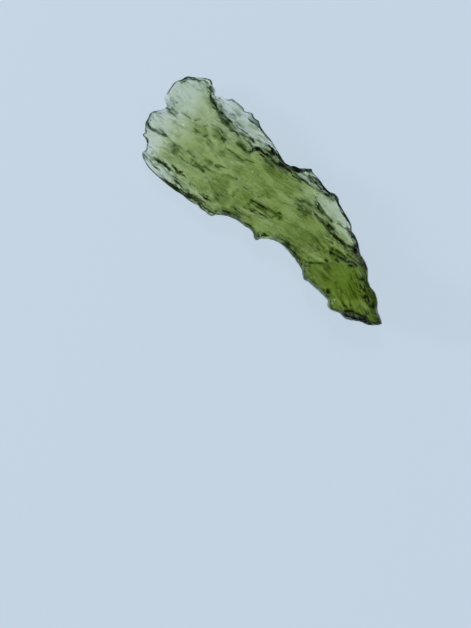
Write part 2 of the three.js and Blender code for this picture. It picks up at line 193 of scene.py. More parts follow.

# Creases, where flow layers were etched open, with painted shade in them, and, with less than no light
# lost, ridges between them with a painted highlight: half width, light lost, and the points of the line.
UPPER_CREASES = [
    # Wall behind the long flange
    (0.18, 0.9, (-16.3, 5.3), (-15.8, 5), (-15.3, 4.4), (-14.7, 4.25), (-14.2, 4.2)),
    (0.14, 0.4, (-14.7, 4.25), (-13.6, 4), (-13.1, 3.6), (-12.3, 3.4), (-11, 3.2), (-10, 3.5)),
    (0.26, 0.8, (-13.4, 3.85), (-12.7, 3.6), (-12.2, 3.5), (-11.6, 3.6)),
    (0.18, 0.8, (-11.8, 3.6), (-11, 3.4), (-10.4, 3.45), (-9.6, 3.6), (-9, 3.85), (-8.3, 4.1)),
    (0.13, 1.4, (-8.4, 4.15), (-7.9, 4.2), (-7.2, 4.15)),
    (0.08, 0.6, (-8.1, 3.9), (-7.5, 3.8)),
    (0.16, 1.5, (-6.7, 4.05), (-6.2, 4.2), (-5.6, 4.4), (-5.1, 4.65), (-4.7, 4.8)),
    (0.26, 0.9, (-6.5, 3.9), (-5.9, 3.95)),
    (0.16, 1, (-5, 4.35), (-4.4, 4.3)),
    (0.15, 1.5, (-4.4, 4.15), (-3.8, 4.1), (-3.4, 4.2), (-2.8, 4.45), (-2.2, 4.65), (-1.5, 4.7)),
    (0.1, 0.6, (-5, 3.5), (-4.4, 3.55), (-3.9, 3.65), (-3.2, 3.45)),
    (0.3, 0.5, (-3, 5.15), (-2.2, 5.25), (-1.3, 5.6)),
    (0.2, -0.15, (-4.6, 4.7), (-4, 4.7), (-3.2, 4.75)),
    # Long flange
    (0.07, 0.6, (-15, 4.9), (-14.7, 4.7), (-14.1, 4.75)),
    (0.08, 0.5, (-13.9, 4.5), (-13.3, 4.4)),
    (0.07, 0.7, (-12.2, 4.55), (-11.7, 4.7), (-11.1, 4.75)),
    (0.06, 0.4, (-11.5, 5.3), (-10.9, 5.4)),
    (0.06, 0.4, (-11.5, 5.05), (-10.7, 5.15)),
    (0.08, 0.7, (-10.1, 5.75), (-9.6, 5.75), (-8.8, 5.9), (-8.2, 5.9)),
    # Shelf and body below it
    (0.2, 1.7, (-8.95, 2.55), (-8.5, 2.7), (-8.1, 2.75), (-7.6, 2.65), (-7, 2.75), (-6.6, 3.05)),
    (0.07, 0.5, (-8.8, 3), (-8.2, 3.1), (-7.5, 3)),
    (0.22, 1.2, (-10.7, 1.6), (-10.3, 1.55), (-9.95, 1.65)),
    (0.1, 0.5, (-12.5, 1.75), (-11.5, 1.8), (-10, 1.85)),
    (0.09, 0.5, (-11.6, 1.15), (-11.2, 1.3), (-10.7, 1.25)),
    (0.1, 0.9, (-9.3, 1.2), (-8.6, 1.25), (-8, 1.3), (-7.3, 1.45), (-6.8, 1.6), (-6.2, 1.95), (-5.4, 2.3)),
    (0.08, 0.5, (-14.6, 0.7), (-14.5, 1.1), (-14.2, 1.45)),
    (0.08, 0.5, (-13.4, 1.15), (-12.9, 1.45)),
    (0.08, 0.6, (-14.1, -0.02), (-13.5, 0.05), (-12.9, 0.2)),
    (0.06, -0.2, (-13.9, 0.2), (-13.5, 0.35), (-13.3, 0.65)),
    (0.07, 0.4, (-14.2, 0.5), (-13.6, 0.4)),
    (0.09, 0.7, (-12.5, 0.1), (-12.2, 0.35), (-12.15, 0.8)),
    (0.1, -0.3, (-12.1, -0.05), (-12.05, 0.25)),
    (0.09, 0.5, (-4.7, -0.1), (-4.5, -0.1)),
    (0.06, -0.2, (-5.15, 0.2), (-5.1, 0.7)),
    (0.07, 0.6, (-6.9, -1.15), (-6.3, -1), (-5.9, -0.85), (-5.5, -0.6)),
    (0.07, -0.2, (-5.8, -0.4), (-5.4, -0.3)),
    (0.07, 0.7, (-8.5, -1.05), (-8.2, -0.95), (-7.7, -0.75)),
    (0.1, 0.9, (-8.8, -1.35), (-8.4, -1.45), (-8.2, -1.2)),
    (0.1, 0.5, (-2.3, 0.85), (-1.6, 0.7), (-0.9, 0.6)),
    (0.08, 0.4, (-1.7, 0.4), (-0.9, 0.4)),
    (0.09, 0.5, (-2.1, 0.2), (-1.7, 0.15)),
    # Broad end
    (0.1, 0.7, (-18, -0.08), (-17.3, -0.05), (-16.7, 0)),
    (0.14, 0.7, (-18.7, -0.5), (-18, -0.45), (-17.4, -0.55), (-16.8, -0.42)),
    (0.1, 0.6, (-16.6, 0.25), (-16.2, 0.5), (-15.8, 0.6), (-15.1, 0.6)),
    (0.09, 0.5, (-18.85, 1.95), (-18.75, 1.95)),
    (0.14, 1.1, (-19.1, -3.4), (-18.6, -3.6), (-18, -3.75), (-17.2, -3.55), (-16.6, -3.4), (-16.1, -3.2),
        (-15.6, -3.1)),
    (0.12, 0.8, (-18.9, -3.9), (-18.5, -4.1), (-18.3, -4.4)),
    (0.2, 0.9, (-14.6, -3), (-14.2, -3.3), (-14, -3.4)),
    (0.2, 0.9, (-13.8, -3.4), (-13.6, -3.7), (-13.8, -4.1)),
    (0.08, 0.7, (-19.2, 2.9), (-19, 3.6), (-18.7, 4.1), (-18.2, 4.5)),
    (0.08, 0.7, (-18.4, 4.5), (-17.9, 4.75), (-17.5, 5.1), (-17, 5.3), (-16.6, 5.2)),
    # Along the wavy side
    (0.09, 0.6, (-12.7, -2.6), (-11.9, -2.5), (-11.3, -2.35), (-10.8, -2.2)),
    (0.1, 0.6, (-11.8, -2.85), (-11.2, -2.85), (-10.7, -2.7)),
    (0.15, 0.7, (-10.3, -1.85), (-9.6, -1.65), (-9, -1.45)),
    (0.08, 0.8, (-10.8, -2.95), (-10, -2.75), (-9.4, -2.55)),
    (0.1, 1.2, (-10.9, -3.35), (-10.4, -3.1), (-9.7, -2.95), (-9.1, -2.9)),
    (0.09, 0.5, (-9.8, -2.4), (-9, -2.3), (-8.2, -2)),
    (0.05, -0.3, (-10.95, -3.3), (-10.75, -2.6), (-10.55, -2.1), (-10.65, -1.8)),
    (0.2, 0.8, (-4.1, -4.9), (-3.5, -4.5), (-3, -4.1), (-2.4, -3.9), (-1.8, -3.75)),
    (0.08, -0.35, (-3, -4.4), (-2.4, -4.15), (-2.1, -4.1)),
    (0.08, 0.4, (-11.4, -6.05), (-10.7, -6)),
    (0.12, 1, (-10.7, -6.4), (-10.5, -6.65), (-10.4, -6.85)),
    (0.1, -0.3, (-10.7, -6.2), (-10.4, -6.35), (-10.3, -6.6)),
    (0.08, 0.5, (-9.3, -6.05), (-8.6, -6)),
    (0.08, 0.5, (-8.3, -5.9), (-7.4, -5.8)),
    (0.07, 1.6, (-5.7, -6.02), (-5.3, -5.98), (-4.8, -5.95)),
    (0.05, -0.3, (-5.6, -6.15), (-5, -6.1)),
    (0.07, 0.9, (-15.7, -5.95), (-15.3, -5.9)),
    # Wedge in the middle
    (0.09, 1.3, (-2.7, -1.3), (-2, -1.1), (-1.5, -1), (-1, -0.85), (-0.4, -0.7), (0.1, -0.5)),
    (0.24, 1, (-1.6, -1.15), (-1, -1.05), (-0.5, -0.9), (0, -0.8)),
    (0.08, 1.1, (-2.6, -1.55), (-2, -1.45), (-1.4, -1.35), (-0.8, -1.3)),
    (0.12, 1.1, (0, -0.55), (0.5, -0.4), (1, -0.25), (1.2, 0), (1.5, -0.15), (2, -0.05)),
    (0.08, 0.8, (0.8, -0.95), (1.1, -0.6), (1.25, -0.2)),
    (0.08, 0.6, (1.5, -0.35), (1.9, -0.6)),
    (0.05, 0.5, (0.3, 0), (0.35, 0.45)),
    (0.05, 0.5, (0.62, -0.1), (0.66, 0.45)),
    (0.2, -0.18, (-2.9, -1.8), (-2, -1.75), (-1, -1.65), (0, -1.4)),
    (0.07, 0.7, (-2.6, -1.9), (-2.1, -1.85)),
    (0.07, 0.8, (-0.5, -1.7), (0, -1.58), (0.5, -1.5)),
    # Short flange and windows
    (0.09, 1.3, (-1.2, 4.9), (-0.6, 5.02), (0, 5.1), (0.6, 5.2), (1.2, 5.3)),
    (0.2, 1.2, (-2.2, 5.2), (-1.7, 5.4), (-1, 5.65), (-0.5, 6.1), (-0.05, 6.5), (0.4, 6.55)),
    (0.14, 1, (1.3, 6.6), (2, 6.5), (3, 6.35), (4, 6.35), (4.4, 6.55), (5.2, 6.5)),
    (0.14, 0.5, (-1.2, 5.3), (-0.9, 5.6), (-0.7, 5.7)),
    (0.1, 0.5, (-1, 5.35), (-0.4, 5.6), (0.3, 5.75), (1, 5.8)),
    (0.1, -0.3, (-0.6, 5.3), (-0.1, 5.5), (0.5, 5.55)),
    (0.11, 1, (-0.8, 4.6), (-0.3, 4.7), (0.4, 4.75)),
    (0.08, 1.1, (0.8, 5), (1.5, 5.25), (2.2, 5.4), (3.1, 5.65), (4, 5.8), (5.1, 6)),
    (0.15, 1, (1.2, 2.85), (1.9, 2.95), (2.3, 3.3), (3, 3.5), (3.8, 3.75), (4.6, 3.85), (5.3, 3.75)),
    (0.06, 1, (4, 4.35), (4.8, 4.15), (5.3, 4), (6, 4), (6.7, 4.05)),
    (0.12, 1.4, (6.2, 4), (6.7, 4.02)),
    (0.07, -0.3, (3.5, 4.55), (4.3, 4.2), (5.2, 4.05)),
    (0.09, 0.6, (1.9, 2.3), (2.5, 2.5), (3.2, 2.5), (3.7, 2.7), (4.3, 2.75)),
    (0.07, 0.5, (2.2, 2), (3, 2.1), (3.9, 2.3)),
    (0.06, 1.1, (7.1, 4.35), (7.6, 4.45), (8.2, 4.5), (8.6, 4.7), (9, 5)),
    (0.07, 0.9, (4.8, 2.95), (6.5, 2.9), (7.5, 2.88), (8.4, 2.87), (9.6, 2.92), (10.6, 2.9)),
    (0.15, 1.2, (8, 3.1), (8.6, 3.1), (9.1, 3.15), (9.7, 3.2), (10.4, 3.15), (11.4, 3.25)),
    (0.13, 1.1, (10, 3.3), (10.6, 3.45), (11.4, 3.55)),
    (0.3, -0.1, (8.2, 2.6), (9.2, 2.55), (11, 2.6)),
    (0.2, -0.12, (8.1, 2.5), (9.2, 2.45), (10.6, 2.5)),
    (0.07, 1.2, (10.8, 2.43), (11.5, 2.5)),
    # Comb above the block
    (0.08, 0.6, (11.4, 3.4), (12.1, 3.35), (12.9, 3.25), (13.6, 3.05)),
    (0.09, 0.9, (11.6, 2.95), (12.4, 2.96), (13, 2.98), (14, 2.75)),
    (0.09, 0.7, (11, 2.55), (12, 2.55), (13, 2.6), (14.1, 2.35)),
    (0.09, -0.2, (11.4, 2.77), (12.3, 2.78), (13, 2.8)),
    (0.14, 1.2, (12.7, 2.7), (13, 2.78), (13.4, 2.72)),
    # Ledge above the block
    (0.11, 2.6, (8.85, 1.58), (9.3, 1.62)),
    (0.09, 2.4, (9.4, 1.72), (10.2, 1.87), (10.7, 1.95), (11.3, 2)),
    (0.1, -0.25, (9.5, 1.5), (10.2, 1.66), (10.9, 1.8)),
    (0.12, 2.3, (9.5, 1.25), (10, 1.4), (10.6, 1.45), (11.3, 1.6)),
    (0.2, 3.6, (9.2, 0.9), (9.3, 1.1), (9.35, 1.3)),
    (0.11, 2.2, (11.3, 1.4), (11.5, 1.7), (11.8, 1.98), (12.2, 2.1), (12.7, 2.1)),
    (0.11, -0.4, (11.7, 1.7), (12, 1.85), (12.4, 1.85)),
    (0.12, 2.4, (11.8, 1.45), (12.4, 1.65)),
    (0.1, -0.4, (9.9, 1.05), (10.6, 1.12), (11.4, 1.22)),
    (0.1, 1.8, (10.1, 0.9), (10.5, 0.95), (10.9, 0.92)),
    (0.07, 0.4, (6.6, 0.85), (7.4, 0.9), (8.4, 1)),
    (0.1, 2, (14.15, 1.65), (14.2, 1.35), (14.3, 1.15)),
    # Slanted facet
    (0.09, 2.2, (9.3, 0), (9.6, 0.02), (9.85, -0.03)),
    (0.1, 1, (8.1, -1.9), (8.4, -1.6), (8.8, -1.2), (9.2, -0.8), (9.6, -0.4), (10.1, -0.3), (10.8, -0.4)),
    (0.08, -0.25, (9.25, -0.7), (9.45, -0.35)),
    (0.06, 0.5, (12.2, -1.05), (12.7, -1.6), (13.2, -1.3), (13.8, -1.7)),
    (0.09, -0.3, (11.3, -2.4), (12, -2.75), (12.5, -2.9)),
    (0.13, 2.2, (12.1, -2.45), (12.4, -2.6), (12.65, -2.8)),
    (0.1, 0.9, (11.7, -2.9), (12.3, -3.1), (13.1, -3.15)),
    (0.25, 1.5, (4.1, -2.2), (4.5, -2.1), (4.9, -1.9)),
    (0.12, 0.8, (5, -2), (6, -2.2), (7.2, -2.3)),
    (0.3, -0.1, (3.3, -1.7), (4.1, -1.5)),
    # Tip
    (0.12, 1.6, (16.05, 0.45), (16.15, 0.1), (15.9, -0.15)),
    (0.09, 0.6, (15.8, 1.2), (16.2, 0.8), (16.5, 0.45)),
    (0.4, 0.3, (16.8, 0.9), (17.6, 0.5), (18.2, 0)),
    (0.1, 1.5, (15.5, -3), (16.1, -2.4), (16.8, -2.05), (17.5, -1.92), (18.1, -1.87), (18.8, -1.8)),
    (0.3, 1.5, (15.6, -3.35), (16.4, -3.1), (17, -2.8), (17.7, -2.4)),
    (0.1, 0.9, (17.4, -2.15), (18, -2.1), (18.6, -2.05)),
    (0.12, 0.6, (18.6, -1.8), (19.1, -1.6), (19.7, -1.1)),
    (0.5, -0.15, (12.4, 0), (13, -0.5), (13.6, -1)),
    (0.5, -0.15, (16, -0.7), (17, -1), (17.9, -1.1)),
]
LOWER_CREASES = [
    (0.45, 0.5, (-4.8, 3.7), (-3.6, 3.8), (-2.4, 4.1), (-1.4, 4.4)),
    (0.08, 0.6, (-14.5, 5.15), (-14.4, 4.9)),
    (0.2, 0.3, (-13.6, 4.2), (-12, 4.1), (-10, 4.3), (-8.6, 4.5)),
    (0.06, 0.4, (-11, 4.4), (-10.2, 4.55), (-9.3, 4.8)),
    (0.1, 0.15, (-8, 5.3), (-7, 5.2), (-5.6, 5.3)),
    (0.4, 0.35, (-7.1, 3.7), (-6.5, 3.4)),
    (0.3, 0.35, (-10.2, 1.1), (-9.2, 0.9)),
    (0.15, 0.35, (-4.6, -2), (-4, -1.9)),
    (0.18, 0.35, (-3.9, -1.2), (-3.3, -1.4)),
    (0.12, 0.4, (-5.8, -2.9), (-5.1, -2.8)),
    (0.1, 0.3, (-19, 0.7), (-18.2, 0.6), (-17.6, 0.3)),
    (0.1, 0.4, (-17.95, 1.1), (-17.85, 0.8)),
    (0.1, 0.4, (-16.5, -1.3), (-16.3, -1.35)),
    (0.1, 0.5, (-17.3, -3.1), (-16.6, -3), (-15.8, -3.05)),
    (0.3, 0.35, (-14.4, -3.6), (-13.4, -3.2), (-12.4, -3.3)),
    (0.1, 0.5, (-11.6, -3.15), (-10.9, -3.05)),
    (0.14, 0.45, (-8.9, -3.5), (-8.4, -3.3), (-7.4, -3.4), (-6.4, -3.5), (-5.6, -3.7), (-5, -3.8)),
    (0.5, 0.35, (-5.6, -3.6), (-4.8, -3.8), (-4.4, -4.6)),
    (0.1, 1, (-0.4, -1.15), (0.2, -1.05), (0.6, -0.9), (1, -0.7)),
    (0.2, 0.6, (-1.7, 5.4), (-1, 5.65), (-0.5, 6.05), (-0.05, 6.45)),
    (0.12, 0.4, (0.3, 6), (1.6, 6.05), (3.2, 6.05)),
    (0.34, 0.45, (1.3, 2.9), (2.2, 3.05), (3.4, 3.4), (4.5, 3.5), (5.6, 3.35), (6.6, 3.45), (7.6, 3.65)),
    (0.35, 0.3, (2.4, 2.3), (3.4, 2.5), (4.4, 2.6)),
    (0.25, 0.5, (6.4, 3.45), (7, 3.65), (7.6, 3.65)),
    (0.2, 0.4, (12.6, 2.6), (13.2, 2.7), (13.8, 2.6)),
    (0.3, 0.35, (4.7, 0.3), (5.5, 0.5), (6.3, 0.6), (7.2, 0.75), (8.4, 0.9)),
    (0.4, 0.5, (9.6, -0.8), (10.4, -0.8), (11.4, -0.9)),
    (0.5, 0.3, (10, -1.5), (11, -1.4), (12, -1.4)),
    (0.7, 0.45, (14.6, 1.6), (15.3, 1.1), (15.8, 0.7)),
    (0.55, 0.6, (16.7, 0.7), (17.4, 0.4), (18.1, 0)),
]
# The strength of the painted shade in the creases, and the half width past which they get paler, by the
# root of how much wider they are.
CREASE_STRENGTH, FULL_HALF = 1.85, 0.12
# The depth of the V, the share of the half width that is added to it, and its width in half widths.
CREASE_DEPTH, DEPTH_SHARE, CREASE_SPREAD = 0.07, 0.2, 1.5
# The share of the length that is pinched at each end, and how far the pinch has grown at the end itself.
PINCH_SHARE, PINCH_START = 0.12, 0.25
# The skirt round the dark core: how many times as wide, and what share as dark.
SKIRT_WIDTH, SKIRT_SHADE = 2.8, 0.22
# Steps of the curve for each point, and how many half widths round it are worked out.
CREASE_STEPS, CREASE_NEAR = 6, 6
# How close to the edge all relief fades out, and the share of the thickness that it stays below.
RELIEF_FADE, RELIEF_MOST = 0.35, 0.4

# Broader darker and, with less than no light lost, paler patches: place, size, turn, light lost. Both are
# partly the glass's own tone; the darker ones are partly painted shade, the paler ones partly painted
# highlights.
UPPER_PATCHES = [
    ((-8, 1.95), (1.3, 0.4), 5, -0.07), ((-6.2, 2.7), (0.8, 0.5), 25, -0.07),
    ((12.8, -0.7), (0.9, 0.5), -35, -0.08), ((16.6, -1), (0.8, 0.5), -10, -0.15),
    ((-16.2, -4.6), (1.2, 1.2), 0, -0.2), ((-9.2, -1), (1, 0.6), 0, -0.15), ((9, 0), (1, 0.7), 0, -0.15),
    ((9.2, 4.2), (1, 0.4), -15, -0.2), ((5, -1), (2.6, 1), 0, 0.17), ((11.5, -1.5), (1.2, 0.7), 0, 0.1),
]
LOWER_PATCHES = [
    ((-2.4, 5.1), (0.9, 0.3), 15, 0.4), ((-3.95, 3.8), (0.5, 0.3), 10, 0.35),
    ((-7.2, -2.4), (1.8, 0.5), 8, 0.18), ((-5, -3.8), (1.3, 0.8), -10, 0.25),
    ((-11.5, 1.45), (1.6, 0.35), 3, 0.16), ((6.4, 0.3), (2, 0.55), 12, 0.18),
    ((10.8, -1.1), (1.5, 0.8), -5, 0.22), ((15.1, 1.3), (1.4, 0.55), -25, 0.4),
    ((14.4, 1.9), (1.8, 0.7), -30, 0.3), ((17.4, 0.5), (0.9, 0.5), -30, 0.45),
    ((19.2, -1), (1.3, 0.8), -20, 0.75), ((-0.6, -1.1), (1.6, 0.28), 18, 0.4),
    ((-12.5, -6.6), (3, 0.7), -4, 0.08), ((5, -1), (2.6, 1), 0, 0.14), ((-13.3, 0.8), (1.2, 0.8), 10, 0.1),
    ((16.6, -2.8), (1.4, 0.6), 25, 0.5), ((10.4, 2.95), (1.8, 0.4), 5, 0.5), ((-12, -4), (2, 0.7), 0, 0.24),
    ((-8, 2.75), (1.2, 0.3), 0, 0.45), ((-12.1, 3.7), (1.9, 0.38), -5, 0.5),
    ((-1, 3.2), (1.3, 0.5), 15, 0.14), ((-17.6, 3), (2, 2), 0, 0.07), ((13, 2.6), (1.6, 0.5), -15, 0.12),
    ((4.6, 3.3), (3, 0.3), 6, 0.15), ((-5, 4.3), (1.6, 0.3), 8, 0.3), ((-16.2, -4.6), (1.2, 1.2), 0, -0.2),
    ((-9.2, -1), (1, 0.6), 0, -0.2), ((9, 0), (1, 0.7), 0, -0.2), ((9.2, 4.2), (1, 0.4), -15, -0.15),
    ((16.6, -1), (0.8, 0.5), -10, -0.2), ((-6, 5.2), (1.2, 0.3), -10, -0.2),
    ((2, 1.6), (1.2, 0.6), 10, -0.08), ((-13.3, -1.3), (1.8, 0.7), 5, -0.05),
    ((-1.8, 4.4), (1.2, 0.4), 10, 0.3), ((-1.15, 5.5), (0.35, 0.3), 0, 0.3),
    ((0.2, 5.8), (1.4, 0.5), 5, 0.06), ((17.6, -0.6), (2.6, 1.8), -15, 0.2),
    ((-1.2, 3.5), (1.8, 1), 15, 0.12), ((0, -1), (1.4, 0.5), 15, 0.15), ((-11, 3.6), (1.8, 0.3), 0, 0.3),
    ((11.2, 0.35), (1.5, 0.5), 0, 0.3), ((10.5, -0.6), (1.2, 0.4), -10, 0.25),
    ((14.9, 1.1), (0.9, 0.4), -25, 0.3), ((8.7, 0.8), (0.8, 0.3), 0, 0.25),
]
# Calm patches: place, size, turn, and the share of the fine relief taken away, at most CALM_MOST in all.
CALM = [
    ((-16.6, 2.6), (3, 2.1), 0, 0.8), ((-13.5, -1.5), (2.5, 0.9), 8, 0.5), ((4.6, 5.1), (2.8, 0.6), 5, 0.7),
    ((9.4, 4), (2, 0.7), -12, 0.9), ((-17.2, -1.8), (1.2, 1), 0, 0.5), ((-10.8, -4.4), (2, 0.6), 5, 0.4),
    ((2.6, 0.9), (2, 0.6), 15, 0.4), ((-7.5, 2.1), (1.6, 0.5), 12, 0.4), ((-10.5, 5.2), (3, 0.8), -3, 0.45),
]
CALM_MOST = 0.9

# The fine flow relief, its depth and light lost, the loss being painted shade at the risers and in the
# grooves and
# dashes: terraces, with the shares of their run that the riser and its painted dark line take, grooves,
# dashes with their growth out of the noise, and specks round one place.
TERRACE_DEPTH, TERRACE_LOSS, RISER_SHARE, RISER_LINE = 0.09, 0.18, 0.22, 0.12
GROOVE_DEPTH, GROOVE_LOSS, GROOVE_WIDTH = 0.06, 0.12, 0.22
DASH_DEPTH, DASH_LOSS, DASH_GROWTH = 0.06, 0.2, (0.42, 0.3)
SPECK_DEPTH, SPECK_PLACE, SPECK_SIZE = 0.05, (-15.8, -4.6), (1.6, 1.5)

# Noises, layer by layer: height, length along x or the flow, width across it, and seed.
GRAINS = {
    "flow waver": [(0.35, 5, 2.5, 7), (0.1225, 1.6, 0.9, 8)],
    "swell": [(0.25, 3.1, 1.9, 21), (0.15, 1.5, 0.8, 22)],
    "rim height": [(0.16, 2.6, 2.6, 23), (0.08, 0.9, 0.9, 24)],
    "step edge": [(0.16, 0.9, 0.8, 31), (0.05, 0.35, 0.25, 32)],
    "step width": [(0.3, 1.7, 3, 33)],
    "crease x": [(0.1, 0.7, 0.5, 41)],
    "crease y": [(0.1, 0.8, 0.4, 42), (0.04, 0.25, 0.2, 43)],
    "patch x": [(0.3, 0.8, 0.4, 51)],
    "patch y": [(0.15, 0.7, 0.35, 52)],
    "rim width": [(0.35, 0.6, 0.6, 63)],
    "terraces": [(3.4, 5.5, 1.4, 0), (1.7, 2.75, 0.7, 101)],
    "grooves": [(1, 3.2, 0.45, 1), (0.5, 1.1, 0.2, 2)],
    "dashes": [(1, 0.9, 0.2, 4)],
    "specks": [(1, 0.22, 0.22, 6)],
}
# Noises round a mean, held between the two numbers after it: mean, least, most, layers.
SHARES = {
    "crease": (0.8, 0.4, 1.4, [(0.5, 1.1, 0.5, 44), (0.4, 0.35, 0.18, 45)]),
    "rim": (0.85, 0.3, 1.5, [(0.35, 1.3, 1.3, 61), (0.3, 0.4, 0.4, 62)]),
    "tip": (0.8, 0.2, 1.4, [(0.6, 1.1, 0.8, 64)]),
    "grooves": (0.5, 0, 1, [(0.9, 3, 1.5, 3)]),
    "dashes": (0.4, 0, 1, [(0.9, 2.5, 1.2, 5)]),
}
# What each skin adds to the seeds of its fine relief, and the number of directions that noise draws on.
UPPER_SEED, LOWER_SEED, LATTICE = 200, 300, 4096

# The grid of the stone: cells along it, from the middle line to the edge, and how they crowd there.
CELLS_ALONG, CELLS_TO_EDGE, RIM_CROWDING = 320, 76, 1.5

# ------------------------------------------------------------------ glass and stage
# Streaks in the glass: length along the flow and width across it in millimetres, and detail.
LONG, SHORT, RAGGED = (1.1, 0.14, 2), (0.35, 0.12, 1), (2.2, 0.28, 2)
LINED, MOTTLED = (2.6, 0.8, 2), (1.7, 0.55, 4)
# Fine lines in it: length, width, and how far from the middle of the noise they fade out.
CONTOURS = [(4.5, 0.6, 0.07), (1.9, 0.3, 0.1)]
# Where in their noise streaks, specks and stretches with fine lines begin, and where they are in full.
STREAK_SPAN, SPECK_SPAN, LINED_SPAN = (0.53, 0.68), (0.6, 0.72), (0.44, 0.6)
# How raggedly the light is lost, and how much specks and lines count for in the bumps beside the streaks.
RAGGEDNESS, SPECK_BUMP, LINE_BUMP = 3, 0.6, -0.6
# The strength of the bumps, their height in millimetres, and the least and the most roughness.
BUMP_STRENGTH, BUMP_HEIGHT, ROUGHNESS = 0.5, 0.05, (0.02, 0.14)

# The floor, in metres: half its width, how far it is level, how high its rim is, the gap under the stone.
FLOOR_HALF, FLOOR_LEVEL, FLOOR_RISE, FLOOR_GAP = 2, 1.2, 0.1, 2e-5
FLOOR_CELLS, FLOOR_ROUGHNESS, FLOOR_GLOSS = 48, 0.8, 0.2
SKY_COLOUR, SKY_STRENGTH = (0.82, 0.91, 1, 1), 0.06
# Lamps: name, place in metres, share of the light power, width in metres.
LAMPS = [
    ("key_light", (-0.3, 0.25, 0.45), 1, 0.12),
    ("fill_light", (0.4, -0.25, 0.35), 0.5, 0.4),
    ("glint_light", (-0.36, -0.24, 0.13), 2, 0.1),
]
# The camera looks straight down on this point, turned by this angle, and takes in this length, in metres.
VIEW_POINT, VIEW_TURN, VIEW_LENGTH = (0.006125, -0.01246, 0.002), math.radians(45), 0.079
SENSOR_WIDTH = 36


# ------------------------------------------------------------------ formulas
def ease(t):
    """3t^2 - 2t^3, with t held between 0 and 1."""
    t = np.clip(t, 0, 1)
    return t * t * (3 - 2 * t)


def grown(value, growth):
    """Eased from 0 where the growth starts to 1 where it is whole."""
    start, width = growth
    return ease((value - start) / width)


def mix(a, b, t):
    """a at t = 0, b at t = 1, straight between."""
    return a + (b - a) * t


def ramp(t):
    """Straight rise from 0 at t = 0 to 1 at t = 1 with rounded corners: half of 1 + |t| - |t - 1|, each |a|
    being the square root of a^2 + 0.01."""
    return 0.5 * (1 + np.sqrt(t * t + 0.01) - np.sqrt((t - 1) ** 2 + 0.01))


def bell(t):
    """e to the minus t^2."""
    return np.exp(-(t**2))


def along(pairs, place, reach=0):
    """Value at a place in a list of (place, value) pairs, straight between neighbours: the mean of nine
    readings spread over the reach to either side."""
    at, value = np.array(pairs, float).T
    if not reach:
        return np.interp(place, at, value)
    return sum(np.interp(place + reach * k, at, value) for k in np.linspace(-1, 1, 9)) / 9


def smooth_curve(points, shares, steps=40):
    """Centripetal Catmull-Rom curve through the points, read at shares of its length.

    Each span is three rounds of straight mixing of four neighbours, with knots that are the square root of
    a chord apart. The end points are mirrored outwards to give the outer spans four neighbours.
    """
    p = np.array(points, float)
    p = np.vstack([2 * p[0] - p[1], p, 2 * p[-1] - p[-2]])
    gap = np.sqrt(np.linalg.norm(np.diff(p, axis=0), axis=1))
    a, b, c, d = (p[k:len(p) - 3 + k, None] for k in range(4))
    before, span, after = (gap[k:len(gap) - 2 + k, None, None] for k in range(3))
    knots = (-before, 0 * span, span, span + after)
    t = span * np.linspace(0, 1, steps, endpoint=False)[None, :, None]

    def mixed(q, r, i, j):
        return (q * (knots[j] - t) + r * (t - knots[i])) / (knots[j] - knots[i])

    ab, bc, cd = mixed(a, b, 0, 1), mixed(b, c, 1, 2), mixed(c, d, 2, 3)
    curve = mixed(mixed(ab, bc, 0, 2), mixed(bc, cd, 1, 3), 1, 2).reshape(-1, 2)
    curve = np.vstack([curve, p[-2]])
    run = np.concatenate([[0], np.cumsum(np.linalg.norm(np.diff(curve, axis=0), axis=1))])
    return np.stack([np.interp(shares * run[-1], run, curve[:, k]) for k in (0, 1)], axis=-1)


def noise(x, y, seed):
    """Gradient noise, about -1 to 1: the dot products of the four nearest lattice directions with the way
    from them, mixed by 6t^5 - 15t^4 + 10t^3 along each axis."""
    rng = np.random.default_rng(seed)
    angle = rng.uniform(0, 2 * math.pi, LATTICE)
    shuffle = rng.permutation(LATTICE)
    column, row = np.floor(x).astype(int), np.floor(y).astype(int)
    fx, fy = x - column, y - row

    def corner(i, j):
        turn = angle[shuffle[(shuffle[(column + i) % LATTICE] + row + j) % LATTICE]]
        return np.cos(turn) * (fx - i) + np.sin(turn) * (fy - j)

    u, v = (t * t * t * (t * (6 * t - 15) + 10) for t in (fx, fy))
    return 1.5 * mix(mix(corner(0, 0), corner(1, 0), u), mix(corner(0, 1), corner(1, 1), u), v)


def grain(layers, x, y, seed=0):
    """Sum of layers of noise, each as high, long and wide as it says. The seed is added to its own."""
    return sum(height * noise(x / length, y / width, seed + own) for height, length, width, own in layers)


def share_of(name, x, y, seed=0):
    """A mean and its grain, held between a least and a most."""
    mean, least, most, layers = SHARES[name]
    return np.clip(mean + grain(layers, x, y, seed), least, most)


def flow_place(x, y):
    """Place along and across the flow: x, and y less the height of the flow line there, made to waver."""
    t = y - along(FLOW_LINE, x)
    return x, t + grain(GRAINS["flow waver"], x, t)


def blob(x, y, place, size, turn=0):
    """Round or oval bump, 1 at its place: e to the minus squared distance in units of its two sizes."""
    a = math.radians(turn)
    u = (x - place[0]) * math.cos(a) + (y - place[1]) * math.sin(a)
    v = (y - place[1]) * math.cos(a) - (x - place[0]) * math.sin(a)
    return np.exp(-((u / size[0]) ** 2) - (v / size[1]) ** 2)


def line_distance(x, y, start, way):
    """Distance from each point to the nearest of many short straights, each a start and a way to its end,
    and the number of that straight plus the share of the way along it, for blocks of points at a time."""
    flat = np.stack([x.ravel(), y.ravel()], axis=1)
    nearest, where = np.empty(len(flat)), np.empty(len(flat))
    length2 = np.maximum((way**2).sum(1), 1e-12)
    blocks = max(1, len(flat) * len(start) // 2_000_000)
    for block in np.array_split(np.arange(len(flat)), blocks):
        gap = flat[block, None] - start[None]
        t = np.clip((gap * way).sum(2) / length2, 0, 1)
        far2 = ((gap - t[..., None] * way) ** 2).sum(2)
        best = far2.argmin(1)
        row = np.arange(len(block))
        nearest[block] = np.sqrt(far2[row, best])
        where[block] = best + t[row, best]
    return nearest.reshape(x.shape), where.reshape(x.shape)


